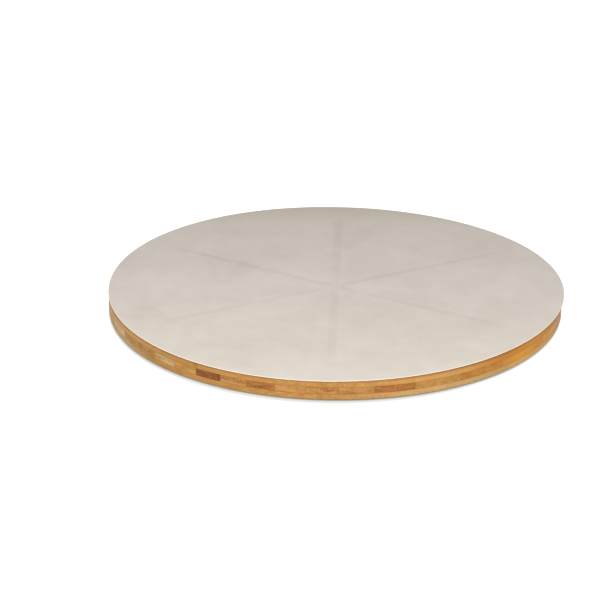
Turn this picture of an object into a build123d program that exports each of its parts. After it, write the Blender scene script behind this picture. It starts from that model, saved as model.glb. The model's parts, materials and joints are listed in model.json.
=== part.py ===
from build123d import *
from itertools import pairwise
from math import radians, tan
import os

# Slim lazy susan turntable: a round bamboo board with a thin soft mat on top. The board turns on
# a ring ball bearing that lies in a pocket in its underside, over a steel base disc with rubber feet.
# All sizes are in millimetres. The origin is on the table, in the middle. +Z is the turning axis.

# Top mat and the film that bonds it to the board
MAT_DIAMETER = 330.0
MAT_THICKNESS = 0.8
MAT_EDGE_RADIUS = 0.3
CREASE_COUNT = 3
CREASE_WIDTH = 2.4
CREASE_DEPTH = 0.15
FILM_THICKNESS = 0.2
FILM_EDGE_INSET = 1.5

# Board of three crossed plies, each glued up from strips
BOARD_DIAMETER = 328.0
TOP_PLY_THICKNESS = 3.6
CORE_PLY_THICKNESS = 4.9
BOTTOM_PLY_THICKNESS = 4.5
STRIP_WIDTH = 19.3
GLUE_LINE = 0.1
BOARD_EDGE_CHAMFER = 0.8
TABLE_GAP = 1.0
POCKET_CLEARANCE = 2.0
POCKET_CHAMFER = 0.5

# Ring ball bearing
PITCH_DIAMETER = 172.0
BALL_DIAMETER = 4.0
BALL_COUNT = 36
BALL_CLEARANCE = 0.1
RING_GAP = 1.8
INNER_RING_WIDTH = 13.0
OUTER_RING_WIDTH = 13.0
RING_CHAMFER = 0.4
INNER_RING_LIFT = 0.5
OUTER_RING_HEADROOM = 0.7
CAGE_THICKNESS = 1.2
CAGE_END_CLEARANCE = 0.5
CAGE_WINDOW_CLEARANCE = 0.1

# Filling bore, where the balls go in, and the plug that closes it
FILLING_CLEARANCE = 0.2
PLUG_CLEARANCE = 0.05
PLUG_SOCKET = 2.0

# Base disc and its feet
BASE_THICKNESS = 2.0
BASE_CHAMFER = 0.4
FOOT_COUNT = 6
FOOT_DIAMETER = 14.0
FOOT_HEIGHT = 1.8
FOOT_EDGE_RADIUS = 0.5
FOOT_MARGIN = 5.0

# Countersunk socket screws, which hold the inner ring to the board and the base disc to the outer ring
RING_SCREW_COUNT = 6
RING_SCREW_ANGLE = 30.0
RING_SCREW_DIAMETER = 4.0
RING_SCREW_LENGTH = 8.0
RING_SCREW_HEAD = 7.5
RING_SCREW_SOCKET = 2.5
BASE_SCREW_COUNT = 6
BASE_SCREW_ANGLE = 30.0
BASE_SCREW_DIAMETER = 3.0
BASE_SCREW_LENGTH = 6.0
BASE_SCREW_HEAD = 5.6
BASE_SCREW_SOCKET = 2.0
SOCKET_DEPTH = 1.0
HEAD_RIM = 0.25
HEAD_SINK = 0.1
HEAD_ANGLE = 90.0
SCREW_TIP = 0.4
SCREW_CLEARANCE = 0.1
THREAD_CLEARANCE = 0.05

# Levels, from the table up
board_bottom = TABLE_GAP
core_bottom = board_bottom + BOTTOM_PLY_THICKNESS
pocket_floor = core_bottom + CORE_PLY_THICKNESS
board_top = pocket_floor + TOP_PLY_THICKNESS
mat_bottom = board_top + FILM_THICKNESS
mat_top = mat_bottom + MAT_THICKNESS
base_bottom = FOOT_HEIGHT
base_top = base_bottom + BASE_THICKNESS
outer_ring_top = pocket_floor - OUTER_RING_HEADROOM
inner_ring_bottom = base_top + INNER_RING_LIFT
ball_level = (inner_ring_bottom + outer_ring_top) / 2
cage_bottom = base_top + CAGE_END_CLEARANCE
cage_top = pocket_floor - CAGE_END_CLEARANCE

# Radii, from the middle out
mat_radius = MAT_DIAMETER / 2
board_radius = BOARD_DIAMETER / 2
ball_radius = BALL_DIAMETER / 2
pitch_radius = PITCH_DIAMETER / 2
groove_radius = ball_radius + BALL_CLEARANCE
inner_ring_outside = pitch_radius - RING_GAP / 2
inner_ring_inside = inner_ring_outside - INNER_RING_WIDTH
outer_ring_inside = pitch_radius + RING_GAP / 2
outer_ring_outside = outer_ring_inside + OUTER_RING_WIDTH
ring_screw_radius = (inner_ring_inside + inner_ring_outside) / 2
base_screw_radius = (outer_ring_inside + outer_ring_outside) / 2
pocket_radius = outer_ring_outside + POCKET_CLEARANCE
base_radius = outer_ring_outside
foot_circle = base_radius - FOOT_MARGIN - FOOT_DIAMETER / 2
bore_radius = ball_radius + FILLING_CLEARANCE

# Faces that the screw heads lie in, each looking out of the piece
board_face = Plane.XY.offset(board_top)
base_face = Plane(origin=(0, 0, base_bottom), x_dir=(1, 0, 0), z_dir=(0, 0, -1))
head_slope = tan(radians(HEAD_ANGLE / 2))


def countersink_radius(head):
    """The mouth of a countersink that lets a head of this diameter lie just under the face."""
    return head / 2 + (HEAD_RIM + HEAD_SINK) * head_slope + SCREW_CLEARANCE


def countersunk_screw(diameter, length, head, socket):
    """A screw with its head's flat top at the origin and its shank down along -Z."""
    neck = -HEAD_RIM - (head - diameter) / 2 / head_slope
    with BuildPart() as screw:
        with BuildSketch(Plane.XZ):
            with BuildLine():
                Polyline(
                    (0, 0),
                    (head / 2, 0),
                    (head / 2, -HEAD_RIM),
                    (diameter / 2, neck),
                    (diameter / 2, SCREW_TIP - length),
                    (diameter / 2 - SCREW_TIP, -length),
                    (0, -length),
                    close=True,
                )
            make_face()
        revolve(axis=Axis.Z)
        with BuildSketch():
            RegularPolygon(socket / 2, 6, major_radius=False)
        extrude(amount=-SOCKET_DEPTH, mode=Mode.SUBTRACT)
    return screw.part


def ring_blank(inside, outside, bottom, top):
    """A bearing ring with its ball groove, turned to size but not drilled yet."""
    with BuildPart() as ring:
        with BuildSketch(Plane.XZ) as section:
            with Locations(((inside + outside) / 2, (bottom + top) / 2)):
                Rectangle(outside - inside, top - bottom)
            chamfer(section.vertices(), RING_CHAMFER)
            with Locations((pitch_radius, ball_level)):
                Circle(groove_radius, mode=Mode.SUBTRACT)
        revolve(axis=Axis.Z)
    return ring.part


def ply_strips(ply, grain_angle):
    """The strips that a ply is glued up from, in order across the board, with a glue line between them.

    The strips run along Y, turned by the grain angle. The outermost ones take what the rim leaves.
    """
    count = 2 * round(board_radius / STRIP_WIDTH - 0.5) + 1
    glue_lines = [(index - count / 2) * STRIP_WIDTH for index in range(1, count)]
    past_rim = board_radius + STRIP_WIDTH
    strips = []
    for left, right in pairwise([-past_rim, *glue_lines, past_rim]):
        with BuildPart() as strip:
            add(ply)
            with Locations(Rotation(0, 0, grain_angle)):
                with Locations(((left + right) / 2, 0, board_top / 2)):
                    Box(right - left - GLUE_LINE, 2 * past_rim, board_top, mode=Mode.INTERSECT)
        strips.append(strip.part)
    return strips


def strip_place(offset):
    """Where a strip lies, counted from the middle one: left_1, middle, right_1 and so on."""
    if offset == 0:
        return "middle"
    side = "left" if offset < 0 else "right"
    return f"{side}_{abs(offset)}"


# Top mat, with three shallow creases that cross in the middle
with BuildPart() as crease:
    with BuildSketch(Plane.YZ):
        with BuildLine():
            Polyline(
                (-CREASE_WIDTH / 2, mat_top),
                (0, mat_top - CREASE_DEPTH),
                (CREASE_WIDTH / 2, mat_top),
                close=True,
            )
        make_face()
    extrude(amount=mat_radius, both=True)

with BuildPart() as top_mat:
    with BuildSketch(Plane.XY.offset(mat_bottom)):
        Circle(mat_radius)
    extrude(amount=MAT_THICKNESS)
    fillet(top_mat.edges().group_by(Axis.Z)[-1], MAT_EDGE_RADIUS)
    with PolarLocations(0, CREASE_COUNT, angular_range=180):
        add(crease.part, mode=Mode.SUBTRACT)
top_mat.part.label = "top_mat"

# Adhesive film under the mat
with BuildPart() as adhesive_film:
    with BuildSketch(board_face):
        Circle(board_radius - FILM_EDGE_INSET)
    extrude(amount=FILM_THICKNESS)
adhesive_film.part.label = "adhesive_film"

# Top ply, whole above the pocket, with the inner ring's screw holes
with BuildPart() as top_ply_blank:
    with BuildSketch(Plane.XY.offset(pocket_floor)):
        Circle(board_radius)
    extrude(amount=TOP_PLY_THICKNESS)
    chamfer(top_ply_blank.edges().group_by(Axis.Z)[-1], BOARD_EDGE_CHAMFER)
    with Locations(board_face):
        with PolarLocations(ring_screw_radius, RING_SCREW_COUNT, start_angle=RING_SCREW_ANGLE):
            CounterSinkHole(
                RING_SCREW_DIAMETER / 2 + SCREW_CLEARANCE,
                countersink_radius(RING_SCREW_HEAD),
                depth=TOP_PLY_THICKNESS,
                counter_sink_angle=HEAD_ANGLE,
            )
top_ply = Compound(label="top_ply", children=ply_strips(top_ply_blank.part, 90))

# Core ply, crossed under the top ply and cut out for the pocket. Its strips are in two lengths,
# a front one and a back one, which butt at the middle line.
core_strips = []
for half, cut in (("front", Plane.XZ), ("back", Plane.ZX)):
    with BuildPart() as core_half:
        with BuildSketch(Plane.XY.offset(core_bottom)):
            Circle(board_radius)
            Circle(pocket_radius, mode=Mode.SUBTRACT)
        extrude(amount=CORE_PLY_THICKNESS)
        split(bisect_by=cut.offset(GLUE_LINE / 2))
    half_strips = ply_strips(core_half.part, 0)
    for index, core_strip in enumerate(half_strips):
        core_strip.label = f"core_{half}_{strip_place(index - len(half_strips) // 2)}"
    core_strips += half_strips

# Bottom ply, along the top ply's grain, with the mouth of the pocket
with BuildPart() as bottom_ply_blank:
    with BuildSketch(Plane.XY.offset(board_bottom)):
        Circle(board_radius)
    extrude(amount=BOTTOM_PLY_THICKNESS)
    chamfer(bottom_ply_blank.edges().group_by(Axis.Z)[0], BOARD_EDGE_CHAMFER)
    with BuildSketch(Plane.XY.offset(board_bottom)):
        Circle(pocket_radius)
    extrude(amount=BOTTOM_PLY_THICKNESS, mode=Mode.SUBTRACT)
    chamfer(
        bottom_ply_blank.edges().filter_by(GeomType.CIRCLE).group_by(Axis.Z)[0].sort_by(SortBy.RADIUS)[0],
        POCKET_CHAMFER,
    )
bottom_ply = Compound(label="bottom_ply", children=ply_strips(bottom_ply_blank.part, 90))

# Inner ring, which turns with the board, and its screws
with BuildPart() as inner_ring:
    add(ring_blank(inner_ring_inside, inner_ring_outside, inner_ring_bottom, pocket_floor))
    with Locations(Plane.XY.offset(pocket_floor)):
        with PolarLocations(ring_screw_radius, RING_SCREW_COUNT, start_angle=RING_SCREW_ANGLE):
            Hole(
                RING_SCREW_DIAMETER / 2 + THREAD_CLEARANCE,
                depth=RING_SCREW_LENGTH + HEAD_SINK - TOP_PLY_THICKNESS + SCREW_TIP,
            )
inner_ring.part.label = "inner_ring"

ring_screw = countersunk_screw(RING_SCREW_DIAMETER, RING_SCREW_LENGTH, RING_SCREW_HEAD, RING_SCREW_SOCKET)
with BuildPart() as ring_screws:
    with Locations(board_face.offset(-HEAD_SINK)):
        with PolarLocations(ring_screw_radius, RING_SCREW_COUNT, start_angle=RING_SCREW_ANGLE):
            add(ring_screw)
ring_screws.part.label = "ring_screws"

# Balls, and the cage that keeps them apart
with BuildPart() as bearing_balls:
    with Locations((0, 0, ball_level)):
        with PolarLocations(pitch_radius, BALL_COUNT):
            Sphere(ball_radius)
bearing_balls.part.label = "bearing_balls"

with BuildPart() as ball_cage:
    with BuildSketch(Plane.XY.offset(cage_bottom)):
        Circle(pitch_radius + CAGE_THICKNESS / 2)
        Circle(pitch_radius - CAGE_THICKNESS / 2, mode=Mode.SUBTRACT)
    extrude(amount=cage_top - cage_bottom)
    with Locations((0, 0, ball_level)):
        with PolarLocations(pitch_radius, BALL_COUNT):
            Cylinder(
                ball_radius + CAGE_WINDOW_CLEARANCE,
                2 * CAGE_THICKNESS,
                rotation=(0, 90, 0),
                mode=Mode.SUBTRACT,
            )
ball_cage.part.label = "ball_cage"

# Outer ring, which stands still, with the filling bore through its wall
outer_ring_blank = ring_blank(outer_ring_inside, outer_ring_outside, base_top, outer_ring_top)
filling_mouth = Plane(origin=(-outer_ring_outside, 0, ball_level), z_dir=(-1, 0, 0))
with BuildPart() as outer_ring:
    add(outer_ring_blank)
    with Locations(base_face.offset(-BASE_THICKNESS)):
        with PolarLocations(base_screw_radius, BASE_SCREW_COUNT, start_angle=BASE_SCREW_ANGLE):
            Hole(
                BASE_SCREW_DIAMETER / 2 + THREAD_CLEARANCE,
                depth=BASE_SCREW_LENGTH + HEAD_SINK - BASE_THICKNESS + SCREW_TIP,
            )
    with BuildSketch(filling_mouth):
        Circle(bore_radius)
    extrude(amount=pitch_radius - outer_ring_outside, mode=Mode.SUBTRACT)
outer_ring.part.label = "outer_ring"

with BuildPart() as filling_plug:
    add(outer_ring_blank)
    with BuildSketch(filling_mouth):
        Circle(bore_radius - PLUG_CLEARANCE)
    extrude(amount=pitch_radius - outer_ring_outside, mode=Mode.INTERSECT)
    with BuildSketch(filling_mouth):
        RegularPolygon(PLUG_SOCKET / 2, 6, major_radius=False)
    extrude(amount=-SOCKET_DEPTH, mode=Mode.SUBTRACT)
filling_plug.part.label = "filling_plug"

# Base disc under the outer ring, its screws and its feet
with BuildPart() as base_disc:
    with BuildSketch(Plane.XY.offset(base_bottom)):
        Circle(base_radius)
    extrude(amount=BASE_THICKNESS)
    chamfer(base_disc.edges().group_by(Axis.Z)[0], BASE_CHAMFER)
    with Locations(base_face):
        with PolarLocations(base_screw_radius, BASE_SCREW_COUNT, start_angle=BASE_SCREW_ANGLE):
            CounterSinkHole(
                BASE_SCREW_DIAMETER / 2 + SCREW_CLEARANCE,
                countersink_radius(BASE_SCREW_HEAD),
                depth=BASE_THICKNESS,
                counter_sink_angle=HEAD_ANGLE,
            )
base_disc.part.label = "base_disc"

base_screw = countersunk_screw(BASE_SCREW_DIAMETER, BASE_SCREW_LENGTH, BASE_SCREW_HEAD, BASE_SCREW_SOCKET)
with BuildPart() as base_screws:
    with Locations(base_face.offset(-HEAD_SINK)):
        with PolarLocations(base_screw_radius, BASE_SCREW_COUNT, start_angle=BASE_SCREW_ANGLE):
            add(base_screw)
base_screws.part.label = "base_screws"

with BuildPart() as rubber_feet:
    with BuildSketch():
        with PolarLocations(foot_circle, FOOT_COUNT):
            Circle(FOOT_DIAMETER / 2)
    extrude(amount=FOOT_HEIGHT)
    fillet(rubber_feet.edges().group_by(Axis.Z)[0], FOOT_EDGE_RADIUS)
rubber_feet.part.label = "rubber_feet"

os.makedirs("parts", exist_ok=True)
pieces = [
    top_mat.part,
    adhesive_film.part,
    top_ply,
    *core_strips,
    bottom_ply,
    inner_ring.part,
    ring_screws.part,
    bearing_balls.part,
    ball_cage.part,
    outer_ring.part,
    filling_plug.part,
    base_disc.part,
    base_screws.part,
    rubber_feet.part,
]
for piece in pieces:
    export_step(piece, f"parts/{piece.label}.step")
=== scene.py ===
# %% [markdown]
# # A slim lazy susan
#
# The turntable is a round bamboo board with a thin soft mat on top. It turns on a ring bearing that is
# hidden in a pocket in its underside, over a steel disc with rubber feet. The construction model already
# holds every rigid piece at its real size and place. This script adds the looks: the mat as a soft sheet, a
# finish for each material, and a small studio.

# %% Load the construction model
import json
import math
from collections import namedtuple

import bmesh
import bpy
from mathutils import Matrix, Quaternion, Vector, noise


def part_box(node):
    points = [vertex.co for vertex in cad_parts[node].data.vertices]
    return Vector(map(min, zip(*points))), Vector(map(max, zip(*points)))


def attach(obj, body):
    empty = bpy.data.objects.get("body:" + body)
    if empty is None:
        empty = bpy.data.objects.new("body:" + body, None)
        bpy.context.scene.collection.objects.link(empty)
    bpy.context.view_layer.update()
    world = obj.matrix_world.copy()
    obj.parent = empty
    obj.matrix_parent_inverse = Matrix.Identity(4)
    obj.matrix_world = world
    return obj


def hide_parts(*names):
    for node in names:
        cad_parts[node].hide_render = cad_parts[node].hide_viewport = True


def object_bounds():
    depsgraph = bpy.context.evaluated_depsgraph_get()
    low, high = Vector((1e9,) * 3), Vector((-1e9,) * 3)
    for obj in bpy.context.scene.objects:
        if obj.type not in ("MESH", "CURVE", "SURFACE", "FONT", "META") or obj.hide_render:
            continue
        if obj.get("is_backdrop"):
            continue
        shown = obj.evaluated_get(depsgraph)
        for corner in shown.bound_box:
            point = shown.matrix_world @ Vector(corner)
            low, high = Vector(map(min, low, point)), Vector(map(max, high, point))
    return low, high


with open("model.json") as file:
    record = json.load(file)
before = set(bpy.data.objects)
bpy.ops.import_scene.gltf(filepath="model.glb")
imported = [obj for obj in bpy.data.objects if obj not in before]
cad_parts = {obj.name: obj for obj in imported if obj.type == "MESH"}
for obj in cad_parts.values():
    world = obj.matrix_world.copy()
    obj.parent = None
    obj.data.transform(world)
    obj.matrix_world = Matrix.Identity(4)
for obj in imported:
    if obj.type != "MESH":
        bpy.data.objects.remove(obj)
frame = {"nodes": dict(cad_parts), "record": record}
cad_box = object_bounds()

print("nodes in the frame:", len(frame["nodes"]))

# %% [markdown]
# ## Sizes and directions to work from
#
# Blender works in metres. The levels and radii below could be typed in again, but they are read from the
# model's own pieces, so that a change in the construction carries over. A strip and its glue line repeat at
# one pitch across the board, which is the distance between the left edges of two neighbouring strips. The
# picture is taken from one side of the board, and to_front and to_right are the directions in that picture.
# The names of the strips go by the board's own axes instead: right is +X and front is -Y.

# %% Read the sizes
MM = 0.001
VIEW_TURN = math.radians(31)

mat_low, mat_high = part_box("top_mat")
mat_radius = mat_high.x
mat_bottom = mat_low.z
mat_top = mat_high.z
ply_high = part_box("top_ply")[1]
board_radius = ply_high.x
board_top = ply_high.z
film_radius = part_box("adhesive_film")[1].x
core_low, core_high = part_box("core_front_middle")
strip_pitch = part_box("core_front_right_1")[0].x - core_low.x
to_front = Vector((math.sin(VIEW_TURN), -math.cos(VIEW_TURN), 0))
to_right = Vector((math.cos(VIEW_TURN), math.sin(VIEW_TURN), 0))

print(f"mat radius {mat_radius / MM:.1f} mm, top at {mat_top / MM:.1f} mm")
print(f"board radius {board_radius / MM:.1f} mm, strip pitch {strip_pitch / MM:.1f} mm")

# %% [markdown]
# ## Shader sums that read like sums
#
# A finish that changes over a surface is a sum of patterns: fibres, plus streaks, minus glue lines. Wiring
# every sum by hand takes four lines for each Math node. Instead a small class wraps a socket and lets the
# operators of Python add the nodes, so that the code says what the pattern is. The reflected forms are there
# too, so that 1 - mask works as well as mask - 1.

# %% A socket with operators
class Signal:
    """An output socket. Each operator on it adds one Math node."""

    def __init__(self, wiring, socket):
        self.wiring = wiring
        self.socket = socket

    def __add__(self, other):
        return self.wiring.maths("ADD", self, other)

    def __radd__(self, other):
        return self.wiring.maths("ADD", other, self)

    def __sub__(self, other):
        return self.wiring.maths("SUBTRACT", self, other)

    def __rsub__(self, other):
        return self.wiring.maths("SUBTRACT", other, self)

    def __mul__(self, other):
        return self.wiring.maths("MULTIPLY", self, other)

    def __rmul__(self, other):
        return self.wiring.maths("MULTIPLY", other, self)

    def __truediv__(self, other):
        return self.wiring.maths("DIVIDE", self, other)

    def __rtruediv__(self, other):
        return self.wiring.maths("DIVIDE", other, self)

    def __mod__(self, other):
        return self.wiring.maths("FLOORED_MODULO", self, other)

    def __rmod__(self, other):
        return self.wiring.maths("FLOORED_MODULO", other, self)

    def __abs__(self):
        return self.wiring.maths("ABSOLUTE", self)

    def __floor__(self):
        return self.wiring.maths("FLOOR", self)


print("sums on sockets: + - * / % abs floor")

# %% [markdown]
# ## One way to add a node
#
# Materials and the world are both trees of nodes. The class below adds every node by one method: first the
# node's settings, because they decide which sockets it has, then the values or links of its sockets. A plain
# value is set on the socket itself, and only what changes over a surface is linked.

# %% A tree of nodes
class Wiring:
    """The nodes of one material or of the world."""

    def __init__(self, tree):
        self.tree = tree

    def node(self, kind, settings=None, sockets=None, output=0):
        """Add any node. Settings come first, then sockets. Returns one output, or several for a tuple."""
        made = self.tree.nodes.new(kind)
        for name, value in (settings or {}).items():
            setattr(made, name, value)
        for name, value in (sockets or {}).items():
            self.plug(made.inputs[name], value)
        if isinstance(output, tuple):
            return [Signal(self, made.outputs[name]) for name in output]
        return Signal(self, made.outputs[output])

    def plug(self, socket, value):
        if isinstance(value, Signal):
            self.tree.links.new(value.socket, socket)
        else:
            socket.default_value = value

    def maths(self, operation, *values):
        return self.node("ShaderNodeMath", {"operation": operation}, dict(enumerate(values)))

    def rise(self, value, low, high):
        """A soft step: 0 below low, 1 above high."""
        sockets = {"Value": value, "From Min": low, "From Max": high}
        return self.node("ShaderNodeMapRange", {"interpolation_type": "SMOOTHSTEP"}, sockets)

    def shown(self):
        """1 for what is seen directly, in a mirror or through glass, 0 for light that falls on things."""
        rays = ("Is Camera Ray", "Is Glossy Ray", "Is Transmission Ray")
        seen, mirrored, through = self.node("ShaderNodeLightPath", output=rays)
        return self.maths("MAXIMUM", self.maths("MAXIMUM", seen, mirrored), through)


print("one method adds every node:", Wiring.node.__name__)

# %% [markdown]
# ## One maker for every finish
#
# All finishes start from Blender's Principled shader, which covers wood, cloth, rubber and metal. The few
# patterns that the finishes share, such as noise or a mix of two colours, have short names of their own. All
# patterns are taken in the piece's own coordinates, so they stay on it when the platter turns. Flattened
# texture maps would do that too, but they stretch on a rim, and these patterns need none.

# %% A finish and its patterns
class Finish(Wiring):
    """One material, built around a Principled shader."""

    def __init__(self, name, constants=None):
        self.material = bpy.data.materials.new(name)
        self.material.use_nodes = True
        super().__init__(self.material.node_tree)
        self.shader = self.tree.nodes["Principled BSDF"]
        for socket, value in (constants or {}).items():
            self.shader.inputs[socket].default_value = value
        self.place = self.node("ShaderNodeTexCoord", output="Object")

    def split(self, vector):
        """The x, y and z of a place or a direction."""
        return self.node("ShaderNodeSeparateXYZ", sockets={0: vector}, output=("X", "Y", "Z"))

    def facing(self):
        """The x, y and z of the direction that the surface faces, in the piece's own frame."""
        return self.split(self.node("ShaderNodeTexCoord", output="Normal"))

    def spot(self, x, y, z=0.0):
        return self.node("ShaderNodeCombineXYZ", sockets={"X": x, "Y": y, "Z": z})

    def toward(self, direction):
        """How far the place lies in this direction from the turning axis."""
        sockets = {0: self.place, 1: direction}
        return self.node("ShaderNodeVectorMath", {"operation": "DOT_PRODUCT"}, sockets, output="Value")

    def reach(self, x=0.0, y=0.0):
        """How far the place is from an upright line at x and y, or from the turning axis."""
        place_x, place_y, place_z = self.split(self.place)
        sockets = {0: self.spot(place_x, place_y), 1: (x, y, 0.0)}
        return self.node("ShaderNodeVectorMath", {"operation": "DISTANCE"}, sockets, output="Value")

    def noise(self, size, spot=None, detail=2.0):
        """Soft noise from 0 to 1 with blobs of this size."""
        sockets = {"Vector": spot or self.place, "Scale": 1 / size, "Detail": detail}
        return self.node("ShaderNodeTexNoise", sockets=sockets)

    def cells(self, size, spot=None, feature="F1"):
        """Scattered cells of this size: the distance from the middle of the nearest one."""
        sockets = {"Vector": spot or self.place, "Scale": 1 / size}
        return self.node("ShaderNodeTexVoronoi", {"feature": feature}, sockets, output="Distance")

    def chance(self, number):
        """A random value from 0 to 1 that is the same wherever the number is."""
        return self.node("ShaderNodeTexWhiteNoise", {"noise_dimensions": "1D"}, {"W": number})

    def tint(self, first, second, share):
        """A colour between two others. Sockets 6 and 7 and output 2 are the Mix node's colour ones."""
        settings = {"data_type": "RGBA", "clamp_factor": True}
        return self.node("ShaderNodeMix", settings, {0: share, 6: first, 7: second}, output=2)

    def bump(self, height, depth):
        """Fine relief that is too small to model. Height runs from 0 to 1, depth is in metres."""
        normal = self.node("ShaderNodeBump", sockets={"Height": height, "Strength": 1.0, "Distance": depth})
        self.plug(self.shader.inputs["Normal"], normal)

    def wear(self, colour, roughness):
        """Link what changes over the surface to the shader."""
        self.plug(self.shader.inputs["Base Color"], colour)
        self.plug(self.shader.inputs["Roughness"], roughness)
        print("finish", self.material.name, "has", len(self.tree.nodes), "nodes")
        return self.material


print("a finish offers:", ", ".join(name for name in vars(Finish) if not name.startswith("_")))

# %% [markdown]
# ## Colours as a screen shows them
#
# Shaders work with amounts of light, but the numbers that are easy to read and compare are those of a screen.
# The amounts could be typed in directly. It is plainer to write screen colours and to turn them into light in
# one place. The second helper turns a pattern into a change around a middle value, which most finishes need.

# %% Colours and swings
def paint(red, green, blue):
    """A colour as seen on a screen, 0 to 255, turned into the linear values that shaders use."""
    linear = []
    for channel in (red, green, blue):
        share = channel / 255
        linear.append(share / 12.92 if share <= 0.04045 else ((share + 0.055) / 1.055) ** 2.4)
    return (*linear, 1.0)


def swing(pattern, spread):
    """A pattern from 0 to 1, turned into a change of up to half the spread up or down."""
    return spread * (pattern - 0.5)


print("warm white is", [round(channel, 3) for channel in paint(220, 212, 203)])

# %% [markdown]
# ## The mat as a sheet
#
# The mat is a soft sheet, less than a millimetre thick, that was folded in six before it was laid on the
# board. Three faint creases cross in its middle. A bump map could fake them, but a bump is lost when only the
# mesh is kept, so they are real dents. A cloth simulation would be the way for a loose cloth, but this one is
# bonded flat, so there is nothing to drape.
#
# So the sheet starts as one round face. It is cut along lines beside each fold, close together near the fold
# and wider apart farther out. That puts points where the shape changes and few where it is flat. Two of the
# folds left one valley each. The last one, made with the sheet already doubled, left two.

# %% The folds
FOLD_COUNT = 3
DOUBLE_FOLD = 2
DOUBLE_HALF_WIDTH = 1.8 * MM

Fold = namedtuple("Fold", "along across valleys")

folds = []
for index in range(FOLD_COUNT):
    turn = math.pi * index / FOLD_COUNT
    along = Vector((math.cos(turn), math.sin(turn), 0))
    across = Vector((-math.sin(turn), math.cos(turn), 0))
    valleys = [-DOUBLE_HALF_WIDTH, DOUBLE_HALF_WIDTH] if index == DOUBLE_FOLD else [0.0]
    folds.append(Fold(along, across, valleys))
print("valleys in each fold:", [len(fold.valleys) for fold in folds])

# %% Cut the sheet along its folds
MAT_SEGMENTS = 360
EDGE_WIDTH = 1.5 * MM
FINE_STEP = 0.6 * MM
COARSE_STEP = 9 * MM
STEP_GROWTH = 1.45
FOLD_REACH = 5.4 * MM
SAME_SPOT = 0.05 * MM


def cut_offsets():
    """Distances from a fold at which the sheet is cut, fine near the fold and coarse far from it."""
    offsets = []
    offset = 0.0
    step = FINE_STEP
    while offset < mat_radius:
        offsets.append(offset)
        if offset > FOLD_REACH:
            step = min(step * STEP_GROWTH, COARSE_STEP)
        offset += step
    return offsets


sheet = bmesh.new()
bmesh.ops.create_circle(sheet, cap_ends=True, segments=MAT_SEGMENTS, radius=mat_radius - EDGE_WIDTH)
for fold in folds:
    for side in (-1, 1):
        for offset in cut_offsets():
            everything = sheet.verts[:] + sheet.edges[:] + sheet.faces[:]
            cut = fold.across * side * offset
            bmesh.ops.bisect_plane(sheet, geom=everything, plane_co=cut, plane_no=fold.across)
bmesh.ops.remove_doubles(sheet, verts=sheet.verts[:], dist=SAME_SPOT)
print("sheet cut into", len(sheet.faces), "faces")

# %% [markdown]
# ## Give the sheet its thickness
#
# The border is drawn out into a rounded edge, one ring at a time. Underneath, the sheet is skived: it gets
# thinner towards its edge, so that the edge stands free of the board with a thin shadow below it. From
# there a ring goes in and down to the film, and one flat face closes the sheet. Solidify would also give
# thickness, but it leaves a square edge, and the fine bright line above a dark one is what the eye sees.

# %% Round the edge and close the sheet
EDGE_STEPS = 5
EDGE_HEIGHT = 0.5 * MM
SKIVED_WIDTH = 6 * MM

edge_profile = []
for step in range(1, EDGE_STEPS + 1):
    bend = math.pi / 2 * step / EDGE_STEPS
    out = mat_radius - EDGE_WIDTH * (1 - math.sin(bend))
    edge_profile.append((out, mat_top - EDGE_HEIGHT * (1 - math.cos(bend))))
edge_profile.append((mat_radius - SKIVED_WIDTH, mat_bottom))

for vert in sheet.verts:
    vert.co.z = mat_top
for out, height in edge_profile:
    border = [edge for edge in sheet.edges if edge.is_boundary]
    drawn = bmesh.ops.extrude_edge_only(sheet, edges=border)["geom"]
    for vert in drawn:
        if isinstance(vert, bmesh.types.BMVert):
            vert.co = vert.co.xy.normalized().to_3d() * out
            vert.co.z = height
border = [edge for edge in sheet.edges if edge.is_boundary]
bmesh.ops.edgeloop_fill(sheet, edges=border)
bmesh.ops.recalc_face_normals(sheet, faces=sheet.faces[:])
print("sheet is closed:", all(edge.is_manifold for edge in sheet.edges))

# %% [markdown]
# ## Creases, waves and an edge cut by hand
#
# A crease is a shallow valley that fades out before the edge. A double fold shares its depth between its two
# valleys. Between the folds the sheet is never quite flat: a very low, wide wave gives the soft mottling of
# the top. Towards the border the top falls away a little. The sheet was cut and laid by hand: its outline
# has three shallow lobes and is slightly oval, and it lies a little too far back on the board. All of this
# could be sculpted, but as a few small sums each of them can be changed alone.

# %% Dents in the top of the sheet
VALLEY_DEPTH = 0.15 * MM
VALLEY_WIDTH = 3.0 * MM
FADE_START = 0.72
FADE_END = 0.95
WAVE_HEIGHT = 0.06 * MM
WAVE_LENGTH = 34 * MM
RIPPLE_LENGTH = 15 * MM
RIPPLE_SHARE = 0.3
BORDER_WIDTH = 22 * MM
BORDER_FALL = 0.3 * MM
BORDER_CURVE = 2.4


def soft_step(value, low, high):
    share = min(max((value - low) / (high - low), 0), 1)
    return share * share * (3 - 2 * share)


def crease_depth(spot):
    """How far the folds dent the top of the sheet at this spot."""
    deepest = 0.0
    for fold in folds:
        depth = VALLEY_DEPTH / len(fold.valleys)
        width = VALLEY_WIDTH / len(fold.valleys)
        for valley in fold.valleys:
            from_valley = (spot.dot(fold.across) - valley) / width
            deepest = max(deepest, depth * math.exp(-(from_valley**2)))
    return deepest * (1 - soft_step(spot.length / mat_radius, FADE_START, FADE_END))


def wave_depth(spot):
    wave = (1 - RIPPLE_SHARE) * noise.noise(spot / WAVE_LENGTH)
    ripple = RIPPLE_SHARE * noise.noise(spot / RIPPLE_LENGTH)
    return WAVE_HEIGHT * (1 - wave - ripple)


def border_depth(spot):
    share = max(spot.length - (mat_radius - BORDER_WIDTH), 0) / BORDER_WIDTH
    return BORDER_FALL * share**BORDER_CURVE


middle = Vector((0, 0, 0))
print(f"the folds dent the middle by {crease_depth(middle) / MM:.2f} mm")

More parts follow.
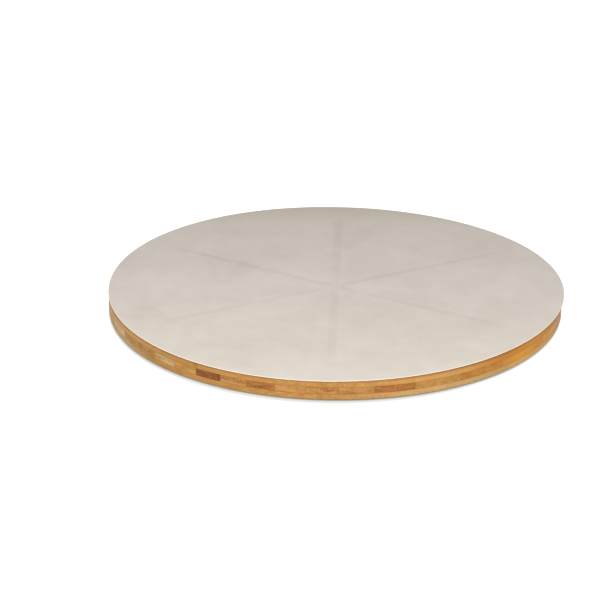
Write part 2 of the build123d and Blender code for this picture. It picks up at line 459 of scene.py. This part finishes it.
# %% Shape the sheet
LOBE_COUNT = 3
LOBE_HEIGHT = 1.3 * MM
LOBE_TURN = math.radians(102)
OVAL_HEIGHT = 0.6 * MM
OVAL_TURN = math.radians(63)
LAID_LEFT = 0.4 * MM
LAID_BACK = 2.0 * MM
LAID_STRETCH = 4

laid_off = -to_right * LAID_LEFT - to_front * LAID_BACK


def outline_shift(spot):
    """How far the outline strays from a true circle in the direction of this spot."""
    turn = math.atan2(spot.dot(to_right), spot.dot(to_front))
    lobe = LOBE_HEIGHT * math.cos(LOBE_COUNT * (turn - LOBE_TURN))
    oval = OVAL_HEIGHT * math.cos(2 * (turn - OVAL_TURN))
    return lobe + oval


for vert in sheet.verts:
    spot = Vector((vert.co.x, vert.co.y, 0))
    top_share = (vert.co.z - mat_bottom) / (mat_top - mat_bottom)
    vert.co.z -= top_share * (crease_depth(spot) + wave_depth(spot) + border_depth(spot))
    strayed = laid_off + spot.normalized() * outline_shift(spot)
    vert.co += strayed * (spot.length / mat_radius) ** LAID_STRETCH

mat_mesh = bpy.data.meshes.new("leatherette_mat")
sheet.to_mesh(mat_mesh)
sheet.free()
for face in mat_mesh.polygons:
    face.use_smooth = True
mat = bpy.data.objects.new("leatherette_mat", mat_mesh)
bpy.context.scene.collection.objects.link(mat)
heights = [vert.co.z / MM for vert in mat_mesh.vertices]
print(f"mat from {min(heights):.2f} to {max(heights):.2f} mm, {len(mat_mesh.polygons)} faces")

# %% [markdown] ## Put the mat on the platter  The sheet takes the place of the plain disc in the
# construction model.

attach(mat, "platter")
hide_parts("top_mat")
print(f"sheet cut {2 * mat_radius:.2f} m across")

# %% [markdown]
# ## Dust and painted shade on the mat
#
# The folds hold a little dust, and they are painted darker as well: painted shade in the creases. The
# darkening lies in a soft band along each fold, as thick between the two valleys of the double fold as in
# them, and it does not keep quite to the line. A few round marks show where thumbs pressed the sheet down. A
# painted picture would do as well, but the script would then need a second file. Here each band comes from
# the distance to its fold, which noise pushes a little aside, and each fold has one amount for its start
# and one for its end.

# %% Bands of dust and painted shade, and thumb marks
DUST_AND_SHADE_WIDTH = 5.2 * MM
DUST_AND_SHADE_WANDER = 3.0 * MM
WANDER_LENGTH = 13 * MM
BAND_INSIDE = 0.9 * MM
BAND_OUTSIDE = 3.6 * MM
FOLD_DUST_AND_SHADE = [(0.24, 0.11), (0.12, 0.17), (0.13, 0.17)]
CHANGE_START = -0.2
CHANGE_END = 0.3
THUMB_MARKS = [(-78 * MM, -7 * MM, 0.16), (52 * MM, 31 * MM, 0.10), (-34 * MM, 72 * MM, 0.09)]
THUMB_RADIUS = 16 * MM


def fold_dust_and_shade(finish):
    """How much the folds are darkened, by dust and painted shade, before that fades towards the edge."""
    wander = swing(finish.noise(WANDER_LENGTH), DUST_AND_SHADE_WANDER)
    dust = 0.0
    for fold, (at_start, at_end) in zip(folds, FOLD_DUST_AND_SHADE):
        ended = finish.rise(finish.toward(fold.along / mat_radius), CHANGE_START, CHANGE_END)
        amount = at_start + (at_end - at_start) * ended
        from_fold = finish.toward(fold.across) + wander
        band = 1 - finish.rise(abs(from_fold), BAND_INSIDE, BAND_OUTSIDE)
        dust = finish.maths("MAXIMUM", dust, amount * band)
        for valley in fold.valleys:
            line = 1 - finish.rise(abs(from_fold - valley), 0.0, DUST_AND_SHADE_WIDTH / len(fold.valleys))
            dust = finish.maths("MAXIMUM", dust, amount * line)
    return dust


def thumb_dust(finish):
    """Soft round marks where the sheet was pressed down."""
    dust = 0.0
    for x, y, amount in THUMB_MARKS:
        dust = dust + amount * (1 - finish.rise(finish.reach(x, y), 0.0, THUMB_RADIUS))
    return dust


print("dust in", len(FOLD_DUST_AND_SHADE), "folds and", len(THUMB_MARKS), "thumb marks")

# %% [markdown]
# ## Leatherette
#
# The sheet is matte and a pale warm grey. Seen close it has a fine pebbled grain, and seen from afar it has
# a faint cloudy mottling. The far side is painted darker and yellower, most of all at its far edge: painted
# shade, for the light that falls off towards the back. The border past the board is painted cooler on the
# right, which is painted shade too, and the cut edge is painted a bright cream, a painted highlight. A single
# colour with a strong bump would look like plastic, so the colour carries most of the variation and the
# grain stays shallow.

# %% Finish for the mat
MAT_LIGHT = paint(222, 213, 203)
MAT_SHADE = paint(196, 187, 176)
MAT_DUST_AND_SHADE = paint(168, 160, 153)
MAT_FAR_SHADE = paint(198, 187, 170)
MAT_COOL_SHADE = paint(206, 208, 203)
MAT_EDGE_HIGHLIGHT = paint(250, 236, 211)
MAT_GLOSS = 0.3
MAT_ROUGHNESS = 0.7
MAT_ROUGHNESS_SPREAD = 0.16
CLOUD_SIZE = 38 * MM
PATCH_SIZE = 11 * MM
FLECK_SIZE = 1.2 * MM
PEBBLE_SIZE = 0.9 * MM
PEBBLE_DEPTH = 0.05 * MM
PEBBLE_SHARE = 0.7
MOTTLE_LEVEL = 0.3
CLOUD_SPREAD = 0.75
PATCH_SPREAD = 0.35
FLECK_SPREAD = 0.2
FAR_SHADE_HALF = (0.0, 0.6)
FAR_SHADE_HALF_SHARE = 0.12
FAR_SHADE_EDGE = (0.7, 1.0)
FAR_SHADE_EDGE_SHARE = 0.62
DUST_AND_SHADE_CLOUD = (0.4, 0.6)
LEAST_DUST_AND_SHADE = 0.45
COOL_RIGHT = (0.5, 0.9)
COOL_SHADE_SHARE = 0.7
COOL_BLEND = 0.6 * MM
FACING_UP = (0.95, 0.995)


def leatherette_finish():
    finish = Finish("leatherette_warm_grey", {"Specular IOR Level": MAT_GLOSS})
    reach = finish.reach()
    cloud = finish.noise(CLOUD_SIZE, detail=3)
    patch = finish.noise(PATCH_SIZE)
    fleck = finish.noise(FLECK_SIZE)
    mottle = MOTTLE_LEVEL + swing(cloud, CLOUD_SPREAD)
    mottle = mottle + swing(patch, PATCH_SPREAD) + swing(fleck, FLECK_SPREAD)
    colour = finish.tint(MAT_LIGHT, MAT_SHADE, mottle)

    # Painted shade: the far half is tinted darker and yellower, and its far edge much more.
    far = finish.toward(-to_front / mat_radius)
    far_shade = FAR_SHADE_HALF_SHARE * finish.rise(far, *FAR_SHADE_HALF) + FAR_SHADE_EDGE_SHARE * finish.rise(far, *FAR_SHADE_EDGE)
    colour = finish.tint(colour, MAT_FAR_SHADE, far_shade)

    fade = 1 - finish.rise(reach / mat_radius, FADE_START, FADE_END)
    # The folds are tinted darker: dust, and painted shade in the creases. The thumb marks are dust.
    patchy = LEAST_DUST_AND_SHADE + (1 - LEAST_DUST_AND_SHADE) * finish.rise(cloud, *DUST_AND_SHADE_CLOUD)
    dust = fold_dust_and_shade(finish) * fade * patchy + thumb_dust(finish)
    colour = finish.tint(colour, MAT_DUST_AND_SHADE, dust)

    # Painted shade: the border past the board is tinted cooler on the right.
    right = finish.rise(finish.toward(to_right / mat_radius), *COOL_RIGHT)
    past_board = finish.rise(reach, board_radius - COOL_BLEND, board_radius + COOL_BLEND)
    colour = finish.tint(colour, MAT_COOL_SHADE, COOL_SHADE_SHARE * past_board * right)
    # Painted highlight: where the sheet stops facing up, at its cut edge, it is tinted bright cream.
    facing_x, facing_y, facing_z = finish.facing()
    colour = finish.tint(MAT_EDGE_HIGHLIGHT, colour, finish.rise(facing_z, *FACING_UP))

    pebbles = finish.cells(PEBBLE_SIZE, feature="SMOOTH_F1")
    finish.bump(PEBBLE_SHARE * pebbles + (1 - PEBBLE_SHARE) * fleck, PEBBLE_DEPTH)
    return finish.wear(colour, MAT_ROUGHNESS + swing(patch, MAT_ROUGHNESS_SPREAD))


mat_mesh.materials.append(leatherette_finish())

# %% [markdown]
# ## The grain of bamboo
#
# The board is glued up from bamboo strips in three crossed plies, and its turned rim shows all of them: the
# long sides of some strips, and the end grain of others as small blocks. A picture of wood laid on the
# surface would be right on one of the two at best. So the pattern is a solid one, made in the piece's own
# three dimensions:
#
# - fibres run along the strip, so noise is stretched in that direction,
# - the wall of the cane is darker towards its skin, which shows in the end grain as broad soft layers,
# - fibre bundles are dark dots in the end grain, and the same dots drawn out are lines on the long sides,
# - each strip has its own tone, picked by chance from its place in the row,
# - every strip has a knuckle now and then, where the cane had its joints.

# %% Fibres, layers, dots and knuckles
FIBRE_LENGTH = 45 * MM
FIBRE_WIDTH = 0.6 * MM
FIBRE_SHIFT = 9
STREAK_LENGTH = 80 * MM
STREAK_WIDTH = 1.7 * MM
STREAK_SHIFT = 5
LAYER_WIDTH = 12 * MM
LAYER_HEIGHT = 2.6 * MM
BUNDLE_WIDTH = 0.95 * MM
BUNDLE_HEIGHT = 2.4 * MM
DOT_EDGE = (0.16, 0.42)
BEND_LENGTH = 70 * MM
BEND_WIDTH = 2.0 * MM
KNUCKLE_SPACING = 240 * MM
KNUCKLE_DARK = 1.0 * MM
KNUCKLE_WIDTH = 2.5 * MM

Grain = namedtuple("Grain", "fibre streak layer dots knuckle")


def bamboo_grain(finish, along, across, height, strip, shift):
    """The patterns of one strip, from its place along, across and up, each from 0 to 1."""
    bend = finish.noise(1.0, finish.spot(along / BEND_LENGTH, strip * math.pi), detail=1)
    bent = across + swing(bend, BEND_WIDTH)
    fibre_start = along / FIBRE_LENGTH + FIBRE_SHIFT * shift
    fibre = finish.noise(1.0, finish.spot(fibre_start, bent / FIBRE_WIDTH, height / FIBRE_WIDTH), detail=3)
    streak_start = along / STREAK_LENGTH + STREAK_SHIFT * shift
    streak = finish.noise(1.0, finish.spot(streak_start, bent / STREAK_WIDTH, height / STREAK_WIDTH))
    layer_spot = finish.spot(across / LAYER_WIDTH, height / LAYER_HEIGHT, strip * math.e)
    layer = finish.noise(1.0, layer_spot, detail=1)
    bundles = finish.cells(1.0, finish.spot(bent / BUNDLE_WIDTH, height / BUNDLE_HEIGHT, strip))
    dots = 1 - finish.rise(bundles, *DOT_EDGE)
    from_knuckle = abs((along / KNUCKLE_SPACING + shift) % 1.0 - 0.5) * KNUCKLE_SPACING
    knuckle = 1 - finish.rise(from_knuckle, KNUCKLE_DARK, KNUCKLE_WIDTH)
    return Grain(fibre, streak, layer, dots, knuckle)


print(f"bamboo strips across the board: {2 * board_radius / strip_pitch:.0f}")

# %% [markdown]
# ## Light and dark in a strip
#
# The patterns of the grain add up to one level between the colour of the fibres and the colour of the light
# parts. A mix of two colours for each pattern would do as well, but then the patterns would hide one another.
# As one sum they stay what they are: small changes up and down, the layers and dots strongest in end grain.

# %% From grain to one level
TONE_LEVEL = 0.6
STRIP_SPREAD = 0.3
STREAK_SPREAD = 1.4
FIBRE_SPREAD = 0.4
LAYER_SPREAD = 2.4
DOT_SHARE = 0.10
DOT_END_SHARE = 0.12
KNUCKLE_SHARE = 0.35


def bamboo_level(grain, strip_tone, joints, end_grain):
    """How light the bamboo is here: 0 for the colour of its fibres, 1 for that of its light parts."""
    level = TONE_LEVEL + swing(strip_tone, STRIP_SPREAD * joints)
    level = level + swing(grain.streak, STREAK_SPREAD) + swing(grain.fibre, FIBRE_SPREAD)
    level = level + swing(grain.layer, LAYER_SPREAD) * end_grain
    dots = grain.dots * (DOT_SHARE + DOT_END_SHARE * end_grain)
    return level - dots - KNUCKLE_SHARE * grain.knuckle


print("patterns in a level:", ", ".join(Grain._fields))

# %% [markdown]
# ## Glue and painted shade
#
# The glue shows as a thin dark line between strips and between plies. The top of the rim, under the edge of
# the mat, is painted darker: painted shade, for the shadow of the mat's edge. The glue could be pieces of its
# own, but a tenth of a millimetre is thinner than a pixel, so colour does it.

# %% Dark lines on the board
JOINT_SHARE = 0.12
SEAM_SHARE = 0.3
GLUE_DARK = 0.12 * MM
GLUE_WIDTH = 0.4 * MM
MAT_SHADOW_SHARE = 0.5
MAT_SHADOW_START = 1.0 * MM
MAT_SHADOW_FULL = 0.5 * MM


def glue_line(finish, distance):
    return 1 - finish.rise(distance, GLUE_DARK, GLUE_WIDTH)


def glue_and_painted_shade(finish, height, row, joints):
    """How brown the board is here, from glue and painted shade. The row counts strips, and a whole number of
    them ends at a joint.
    """
    to_joint = (0.5 - abs(row % 1.0 - 0.5)) * strip_pitch
    brown = JOINT_SHARE * joints * glue_line(finish, to_joint)
    for seam in (core_low.z, core_high.z):
        brown = brown + SEAM_SHARE * glue_line(finish, abs(height - seam))
    # Painted shade: the top of the rim darkens under the edge of the mat.
    return brown + MAT_SHADOW_SHARE * finish.rise(height, board_top - MAT_SHADOW_START, board_top - MAT_SHADOW_FULL)


print(f"plies meet at {core_low.z / MM:.1f} and {core_high.z / MM:.1f} mm")

# %% [markdown]
# ## Bamboo, glued up and oiled
#
# Towards the two ends of the board on X the bamboo is painted lighter and more orange than in its middle:
# painted light, for the light that falls on the ends of the rim. So a finish can have ends, each a colour
# that comes in towards one side. One colour for each strip would be simpler, but the face plies run from one
# end to the other.

# %% Finish for the bamboo
SHIFT_SEED = 40.0
END_FACING = (0.45, 0.9)
END_LIGHT_SHARE = 0.7
BAMBOO_GLOSS = 0.15
BAMBOO_ROUGHNESS = 0.46
BAMBOO_ROUGHNESS_SPREAD = 0.2
END_ROUGHNESS = 0.08
RELIEF_DEPTH = 0.04 * MM
FIBRE_RELIEF = 0.6
DARK_BROWN = paint(112, 66, 32)

End = namedtuple("End", "colour side start complete")


def bamboo_finish(name, tone, direction, seed, joints, ends):
    """Bamboo whose fibres run along X or Y.

    Joints is how plainly its strips are told apart. An end has a colour, its side on X, which is -1 or 1, and
    the shares of the board's radius at which the colour starts and is complete.
    """
    light, dark = tone
    finish = Finish(name, {"Specular IOR Level": BAMBOO_GLOSS})
    x, y, z = finish.split(finish.place)
    facing_x, facing_y, facing_z = finish.facing()
    along, across, facing_along = (x, y, facing_x) if direction == "X" else (y, x, facing_y)
    end_grain = finish.rise(abs(facing_along), *END_FACING)

    row = across / strip_pitch + 0.5
    strip = math.floor(row)
    strip_tone = finish.chance(strip + seed)
    shift = finish.chance(strip + seed + SHIFT_SEED)
    grain = bamboo_grain(finish, along, across, z, strip, shift)

    colour = finish.tint(dark, light, bamboo_level(grain, strip_tone, joints, end_grain))
    # Painted light: each end tints the bamboo lighter and more orange towards its side.
    for end in ends:
        share = END_LIGHT_SHARE * finish.rise(end.side * x / board_radius, end.start, end.complete)
        colour = finish.tint(colour, end.colour, share)
    # Glue lines, and painted shade at the top of the rim.
    colour = finish.tint(colour, DARK_BROWN, glue_and_painted_shade(finish, z, row, joints))

    finish.bump(FIBRE_RELIEF * grain.fibre + (1 - FIBRE_RELIEF) * grain.dots, RELIEF_DEPTH)
    roughness = BAMBOO_ROUGHNESS + swing(grain.fibre, BAMBOO_ROUGHNESS_SPREAD) + END_ROUGHNESS * end_grain
    return finish.wear(colour, roughness)


print("an end of a finish has:", ", ".join(End._fields))

# %% [markdown]
# ## Tones of the strips
#
# Bamboo is pale when it is fresh and brown when it has been steamed, and a board mixes both. Each tone is
# given as the colour of its light parts and the colour of its fibres. One tone with more chance in it would
# mix them too, but then no strip would have the tone that it has on the real board. So most strips take the
# tone of their slot in the record, and those that differ from it in the rim are named. The right end of the
# rim is painted brighter, amber above and gold below, and the two face plies are painted paler at their left
# end: painted light, for the light that falls on the ends.

# %% Tones
BAMBOO_TONES = {
    "honey": (paint(196, 143, 83), paint(151, 100, 50)),
    "golden": (paint(203, 153, 84), paint(162, 111, 53)),
    "pale": (paint(211, 175, 117), paint(173, 131, 75)),
    "straw": (paint(236, 198, 146), paint(202, 158, 104)),
    "amber": (paint(215, 152, 66), paint(164, 104, 39)),
    "toffee": (paint(187, 125, 68), paint(142, 85, 40)),
    "caramel": (paint(172, 115, 63), paint(127, 75, 36)),
    "chestnut": (paint(152, 93, 53), paint(101, 54, 26)),
}
SLOT_TONES = {"bamboo_honey": "honey", "bamboo_pale": "pale", "bamboo_caramel": "caramel"}
# Partly painted light: the pale, straw and golden of the strips at the left end and the amber at the right
# end are lighter and more orange than their wood.
STRIP_TONES = {
    "core_front_middle": "chestnut",
    "core_front_left_6": "pale",
    "core_front_left_5": "straw",
    "core_front_left_4": "golden",
    "core_front_left_1": "golden",
    "core_front_right_3": "honey",
    "core_front_right_6": "toffee",
    "core_front_right_7": "golden",
    "core_front_right_8": "amber",
    "core_back_left_3": "chestnut",
    "core_back_right_6": "amber",
    "core_back_right_8": "amber",
}
print("tones of bamboo:", ", ".join(BAMBOO_TONES))

# %% Make the bamboo of the core and the plies
CORE_SEED = 5.0
TOP_SEED = 3.0
BOTTOM_SEED = 31.0
PAINTED_LIGHT_ORANGE = paint(206, 126, 40)
PAINTED_LIGHT_AMBER = paint(248, 172, 58)
PAINTED_LIGHT_GOLD = paint(242, 184, 92)
PAINTED_LIGHT_PALE_GOLD = paint(220, 166, 94)
PAINTED_LIGHT_STRAW = paint(212, 173, 117)
LEFT = -1
RIGHT = 1

# Painted light on the ends of the rim: brighter amber and gold at the right, paler at the left.
core_painted_light_ends = [End(PAINTED_LIGHT_AMBER, RIGHT, 0.955, 0.99)]
top_painted_light_ends = [
    End(PAINTED_LIGHT_PALE_GOLD, RIGHT, 0.55, 0.85),
    End(PAINTED_LIGHT_ORANGE, RIGHT, 0.88, 0.97),
    End(PAINTED_LIGHT_AMBER, RIGHT, 0.97, 1.02),
    End(PAINTED_LIGHT_PALE_GOLD, LEFT, 0.2, 0.5),
]
bottom_painted_light_ends = [
    End(PAINTED_LIGHT_STRAW, RIGHT, 0.5, 0.9),
    End(PAINTED_LIGHT_GOLD, RIGHT, 0.965, 0.99),
    End(PAINTED_LIGHT_STRAW, LEFT, 0.3, 0.5),
]

core_finish = {}
for index, (name, tone) in enumerate(BAMBOO_TONES.items()):
    seed = CORE_SEED + 2 * index
    core_finish[name] = bamboo_finish(f"bamboo_{name}_core", tone, "Y", seed, joints=1.0, ends=core_painted_light_ends)
golden = BAMBOO_TONES["golden"]
ply_finish = {
    "top_ply": bamboo_finish("bamboo_top_ply", golden, "X", TOP_SEED, joints=0.4, ends=top_painted_light_ends),
    "bottom_ply": bamboo_finish("bamboo_bottom_ply", golden, "X", BOTTOM_SEED, joints=0.8, ends=bottom_painted_light_ends),
}

# %% [markdown]
# ## Clouded steel and nylon
#
# The bearing is out of sight inside the board, but it is finished like the rest. The screws and the filling
# plug are plated with zinc, which is cloudy. Bearing balls are polished with a faint haze, and the ball cage
# is natural nylon, which is slightly cloudy too. Plain colours would pass at a glance, but from near they
# look unreal. All three need the same thing, clouds of one size in colour and gloss, so one function makes
# them.

# %% Finishes for the steel and the nylon
def clouded_finish(name, dark, light, size, rough, spread, metallic=0.0, detail=2.0):
    """A finish whose colour and gloss vary in soft clouds of one size."""
    finish = Finish(name, {"Metallic": metallic})
    cloud = finish.noise(size, detail=detail)
    return finish.wear(finish.tint(dark, light, cloud), rough + swing(cloud, spread))


slot_finish = {
    "zinc_steel": clouded_finish(
        "zinc_plated_steel",
        dark=paint(176, 180, 186),
        light=paint(214, 214, 210),
        size=1.6 * MM,
        rough=0.32,
        spread=0.24,
        metallic=1.0,
        detail=3,
    ),
    "ball_steel": clouded_finish(
        "polished_ball_steel",
        dark=paint(214, 215, 218),
        light=paint(232, 232, 233),
        size=0.8 * MM,
        rough=0.10,
        spread=0.08,
        metallic=1.0,
    ),
    "cage_nylon": clouded_finish(
        "natural_nylon",
        dark=paint(224, 221, 208),
        light=paint(238, 236, 228),
        size=4 * MM,
        rough=0.42,
        spread=0.2,
    ),
}

# %% [markdown]
# ## Turned rings and film
#
# Turned rings carry fine grooves around the axis. Anisotropic gloss would hint at them, but it is one value
# all over, and grooves differ. So their noise depends on the distance from the axis and on the height alone.
# The film is a thin layer of dried adhesive, slightly cloudy, and darker near its edge, under the edge of the
# mat.

# %% Finishes for the rings and the film
GROOVE_SIZE = 0.25 * MM
GROOVE_DEPTH = 0.01 * MM
GROOVE_SHARE = 0.6
RING_CLOUD_SIZE = 9 * MM
RING_DULL = paint(196, 198, 201)
RING_BRIGHT = paint(222, 223, 224)
RING_ROUGHNESS = 0.26
RING_ROUGHNESS_SPREAD = 0.2
FILM_DARK = paint(206, 196, 178)
FILM_LIGHT = paint(226, 219, 205)
FILM_CLOUD_SIZE = 6 * MM
FILM_EDGE_DARK_WIDTH = 3 * MM
FILM_ROUGHNESS = 0.4
FILM_ROUGHNESS_SPREAD = 0.3


def turned_aluminium_finish():
    finish = Finish("turned_aluminium", {"Metallic": 1.0})
    x, y, z = finish.split(finish.place)
    grooves = finish.noise(GROOVE_SIZE, finish.spot(finish.reach(), z))
    cloud = finish.noise(RING_CLOUD_SIZE)
    colour = finish.tint(RING_DULL, RING_BRIGHT, GROOVE_SHARE * grooves + (1 - GROOVE_SHARE) * cloud)
    finish.bump(grooves, GROOVE_DEPTH)
    return finish.wear(colour, RING_ROUGHNESS + swing(grooves, RING_ROUGHNESS_SPREAD))


def film_finish():
    finish = Finish("adhesive_film_pale")
    cloud = finish.noise(FILM_CLOUD_SIZE)
    colour = finish.tint(FILM_DARK, FILM_LIGHT, cloud)
    edge_dark = finish.rise(finish.reach(), film_radius - FILM_EDGE_DARK_WIDTH, film_radius)
    colour = finish.tint(colour, DARK_BROWN, edge_dark)
    return finish.wear(colour, FILM_ROUGHNESS + swing(cloud, FILM_ROUGHNESS_SPREAD))


slot_finish["ring_aluminium"] = turned_aluminium_finish()
slot_finish["film"] = film_finish()

# %% [markdown]
# ## Powder coat and rubber
#
# The base disc is powder coated, which leaves a skin like orange peel, and the feet are dull rubber. Both
# have a fine skin that could be modelled only with millions of points, so it is a bump, and both hold dust
# in broad patches, which make the colour and the gloss uneven.

# %% Finishes for the base and the feet
def dusty_finish(name, dark, light, skin_size, skin_depth, skin_share, dust_size, dust_detail, rough, spread):
    """A finish with a fine raised skin and broad patches of dust."""
    finish = Finish(name)
    skin = finish.noise(skin_size, detail=3)
    dust = finish.noise(dust_size, detail=dust_detail)
    colour = finish.tint(dark, light, skin_share * skin + (1 - skin_share) * dust)
    finish.bump(skin, skin_depth)
    return finish.wear(colour, rough + swing(dust, spread))


slot_finish["base_paint"] = dusty_finish(
    "powder_coat_grey",
    dark=paint(64, 65, 68),
    light=paint(86, 87, 89),
    skin_size=0.7 * MM,
    skin_depth=0.06 * MM,
    skin_share=0.5,
    dust_size=30 * MM,
    dust_detail=4,
    rough=0.5,
    spread=0.25,
)
slot_finish["foot_rubber"] = dusty_finish(
    "black_rubber",
    dark=paint(34, 34, 35),
    light=paint(58, 57, 56),
    skin_size=0.4 * MM,
    skin_depth=0.03 * MM,
    skin_share=0.35,
    dust_size=5 * MM,
    dust_detail=3,
    rough=0.75,
    spread=0.2,
)

# %% [markdown]
# ## Hand out the finishes
#
# The record that comes with the model says which material each piece is made of. Finishes could be set piece
# by piece, but reading the record keeps the two in step. The two face plies have finishes of their own,
# because their grain runs across the core's, and every other piece takes the finish of its slot. The plain
# disc under the mat is not shown, so it is skipped.

# %% Dress the construction model
dressed = 0
for subpart in frame["record"]["subparts"]:
    name = subpart["node"]
    slot = subpart["material_slot"]
    if slot in SLOT_TONES:
        tone = STRIP_TONES.get(name, SLOT_TONES[slot])
        finish = ply_finish.get(name, core_finish[tone])
    elif slot in slot_finish:
        finish = slot_finish[slot]
    else:
        continue
    piece = frame["nodes"][name]
    piece.data.materials.clear()
    piece.data.materials.append(finish)
    dressed += 1
print("pieces dressed:", dressed)

# %% [markdown]
# ## Floor
#
# The turntable lies on plain white. A lit white floor never comes out evenly white: it darkens away from the
# lamp. So the floor is a white diffuse surface that keeps the shadow of the object, with a glow on top that
# only the camera and mirrors see and that lights nothing. The glow is weak at the foot of the board, which
# paints a soft shadow around it: a painted shadow on top of the real one. It is a touch cool there, because
# the bamboo already warms the light on the floor. It is full a little way out, slightly later in front than
# behind and on the left than on the right, so that the thin shadow line under the board stays.

# %% Make the floor
FLOOR_HALF = 6.0
FLOOR_WHITE = 0.5
PAINTED_SHADOW_GLOW = paint(138, 144, 142)
FULL_GLOW = paint(255, 255, 255)
UNLIT = paint(0, 0, 0)
FOOT_FORWARD = 5.7 * MM
FOOT_LEFT = 1.0 * MM
FOOT_INSIDE = 5.7 * MM
FOOT_OUTSIDE = 3.3 * MM


def floor_finish():
    white = (FLOOR_WHITE, FLOOR_WHITE, FLOOR_WHITE, 1.0)
    plain = {"Base Color": white, "Roughness": 1.0, "Specular IOR Level": 0.0, "Emission Strength": 1.0}
    finish = Finish("white_floor", plain)
    foot = to_front * FOOT_FORWARD - to_right * FOOT_LEFT
    reach = finish.reach(foot.x, foot.y)
    # Painted shadow: the glow is held down around the foot of the board.
    outside = finish.rise(reach, board_radius - FOOT_INSIDE, board_radius + FOOT_OUTSIDE)
    glow = finish.tint(PAINTED_SHADOW_GLOW, FULL_GLOW, outside)
    finish.plug(finish.shader.inputs["Emission Color"], finish.tint(UNLIT, glow, finish.shown()))
    return finish.material


floor_mesh = bpy.data.meshes.new("floor")
corners = [(x * FLOOR_HALF, y * FLOOR_HALF, 0) for x, y in ((-1, -1), (1, -1), (1, 1), (-1, 1))]
floor_mesh.from_pydata(corners, [], [(0, 1, 2, 3)])
floor_mesh.materials.append(floor_finish())
floor = bpy.data.objects.new("floor", floor_mesh)
bpy.context.scene.collection.objects.link(floor)
floor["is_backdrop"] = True
print("floor reaches", FLOOR_HALF, "m each way")

# %% [markdown]
# ## Light
#
# The light is soft and comes mostly from above, in front and a little from the left: the front of the mat
# is the brightest and its far edge the darkest. A picture of a studio could light it as well, but one large
# lamp near the object gives that slope and is easy to move, and a white dome fills the shadows. At the
# middle of the mat the two add up to a plain level, where a colour comes out about as it is written.

# %% Set the lamp and the dome
LAMP_POWER = 11.5
LAMP_SIZE = 0.6
LAMP_FORWARD = 0.85
LAMP_LEFT = 0.05
LAMP_HEIGHT = 0.75
DOME_STRENGTH = 0.36

lamp_data = bpy.data.lights.new("front_softbox", "AREA")
lamp_data.energy = LAMP_POWER
lamp_data.size = LAMP_SIZE
lamp = bpy.data.objects.new("front_softbox", lamp_data)
lamp.location = to_front * LAMP_FORWARD - to_right * LAMP_LEFT + Vector((0, 0, LAMP_HEIGHT))
lamp.rotation_euler = (-lamp.location).to_track_quat("-Z", "Y").to_euler()
bpy.context.scene.collection.objects.link(lamp)

world = bpy.data.worlds.new("white_dome")
world.use_nodes = True
bpy.context.scene.world = world
dome = Wiring(world.node_tree)
background = world.node_tree.nodes["Background"]
dome.plug(background.inputs["Color"], (1, 1, 1, 1))
dome.plug(background.inputs["Strength"], DOME_STRENGTH + (1 - DOME_STRENGTH) * dome.shown())
print("lamp at", [round(part, 2) for part in lamp.location])

# %% [markdown]
# ## Camera
#
# The camera looks down on the turntable at about 23 degrees. A short lens from near by would show it at the
# same size, but it would swell the front of the rim, so the lens is long and the round top is a calm
# ellipse. It stands about 30 degrees to the right of the direction of the core's strips. The object sits
# slightly right of the picture's middle, which the lens shift takes care of, and the picture is not quite
# level.

# %% Set the camera
IMAGE_SIDE = 600
LENS = 124.5
SENSOR = 36
CAMERA_DISTANCE = 1.5137
CAMERA_RISE = math.radians(22.98)
CAMERA_ROLL = math.radians(0.42)
OBJECT_RIGHT_PIXELS = 35.2
OBJECT_DOWN_PIXELS = 4.4

camera_data = bpy.data.cameras.new("camera")
camera_data.lens = LENS
camera_data.sensor_width = SENSOR
camera_data.shift_x = -OBJECT_RIGHT_PIXELS / IMAGE_SIDE
camera_data.shift_y = OBJECT_DOWN_PIXELS / IMAGE_SIDE
camera = bpy.data.objects.new("camera", camera_data)
camera.location = to_front * CAMERA_DISTANCE * math.cos(CAMERA_RISE)
camera.location.z = CAMERA_DISTANCE * math.sin(CAMERA_RISE)
aim = (-camera.location).to_track_quat("-Z", "Y")
camera.rotation_euler = (aim @ Quaternion((0, 0, 1), CAMERA_ROLL)).to_euler()
bpy.context.scene.collection.objects.link(camera)
bpy.context.scene.camera = camera
bpy.context.scene.view_settings.view_transform = "Standard"
print("camera at", [round(part, 3) for part in camera.location])

# %% [markdown]
# ## Sizes at the end
#
# The dressed model has to keep the size of the construction model, so the boxes of both are taken, and the
# highest point of each is printed.

# %% Print the sizes
def corners_of(box):
    return [list(corner) for corner in box]


sizes = {"cad": corners_of(cad_box), "visual": corners_of(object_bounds())}
print("highest point of both:", [round(box[1][2] / MM, 2) for box in sizes.values()], "mm")
